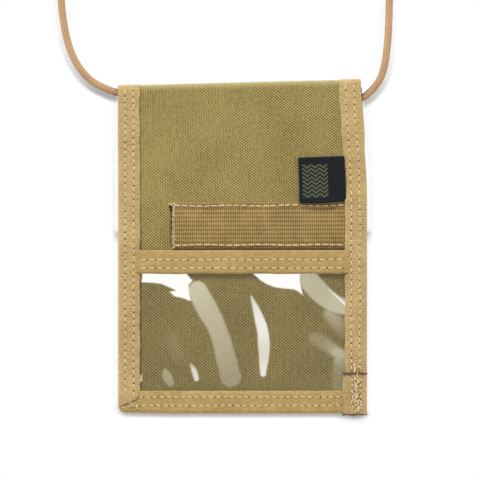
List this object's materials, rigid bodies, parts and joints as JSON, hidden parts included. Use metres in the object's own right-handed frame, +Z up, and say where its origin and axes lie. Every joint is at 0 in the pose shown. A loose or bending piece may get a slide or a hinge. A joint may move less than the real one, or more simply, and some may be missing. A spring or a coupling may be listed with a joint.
{
  "type": "neck pouch wallet",
  "caption": "Flat fabric neck pouch on a cord loop: bound edges, clear front window, webbing sleeve, side label, rear flap with hook and loop, and a sliding cord lock.",
  "frame": {"origin": "middle of the pouch's bottom edge, on the mid-plane of the main compartment", "axes": "+Z up as the pouch hangs, +Y out of its back, so the front with the window faces -Y; +X to the right seen from the front"},
  "size_m": [0.1865, 0.0143, 0.452],
  "materials": {
    "cordura": "coarse plain-weave olive khaki nylon",
    "clear_film": "clear soft vinyl, glossy",
    "binding_tape": "tan ribbed grosgrain tape",
    "webbing": "brown nylon webbing with a fine grid weave",
    "label_cloth": "black woven label with an olive block",
    "loop_pile": "soft loop pile",
    "hook_tape": "stiff hook tape",
    "thread": "light tan sewing thread",
    "cord": "tan braided cord",
    "lock_plastic": "moulded dark plastic",
    "button_plastic": "moulded dark plastic",
    "spring_steel": "spring wire"
  },
  "bodies": {
    "pouch": {"front_panel": "cordura", "back_panel": "cordura", "window_film": "clear_film", "window_top_binding": "binding_tape", "webbing_sleeve": "webbing", "left_bottom_binding": "binding_tape", "right_binding": "binding_tape", "corner_end_wrap": "binding_tape", "cord_sleeve": "binding_tape", "back_panel_binding": "binding_tape", "loop_strip": "loop_pile", "edge_stitching": "thread", "window_stitching": "thread", "webbing_stitching": "thread", "bartack_stitching": "thread", "back_stitching": "thread"},
    "rear_flap": {"flap_panel": "cordura", "flap_binding": "binding_tape", "hook_strip": "hook_tape", "flap_stitching": "thread"},
    "neck_loop": {"neck_cord": "cord"},
    "cord_lock": {"lock_body": "lock_plastic", "lock_spring": "spring_steel"},
    "lock_button": {"lock_plunger": "button_plastic"},
    "label": {"woven_label": "label_cloth"}
  },
  "joints": [
    {"name": "flap_lift", "type": "hinge", "parent": "pouch", "child": "rear_flap", "pos_m": [0, 0.0014, 0.1824], "axis": [1, 0, 0], "range_deg": [0, 175]},
    {"name": "cord_swing", "type": "hinge", "parent": "pouch", "child": "neck_loop", "pos_m": [0, 0.0013, 0.177], "axis": [1, 0, 0], "range_deg": [-180, 180]},
    {"name": "lock_slide", "type": "slide", "parent": "neck_loop", "child": "cord_lock", "axis": [0, 0, 1], "range_m": [0, 0.025]},
    {"name": "button_press", "type": "slide", "parent": "cord_lock", "child": "lock_button", "axis": [-1, 0, 0], "range_m": [0, 0.003], "stiffness_N_per_m": 900, "deforming": ["lock_spring"]},
    {"name": "label_turn", "type": "hinge", "parent": "pouch", "child": "label", "pos_m": [0.0564, -0.0026, 0], "axis": [0, 0, 1], "range_deg": [0, 120]}
  ]
}
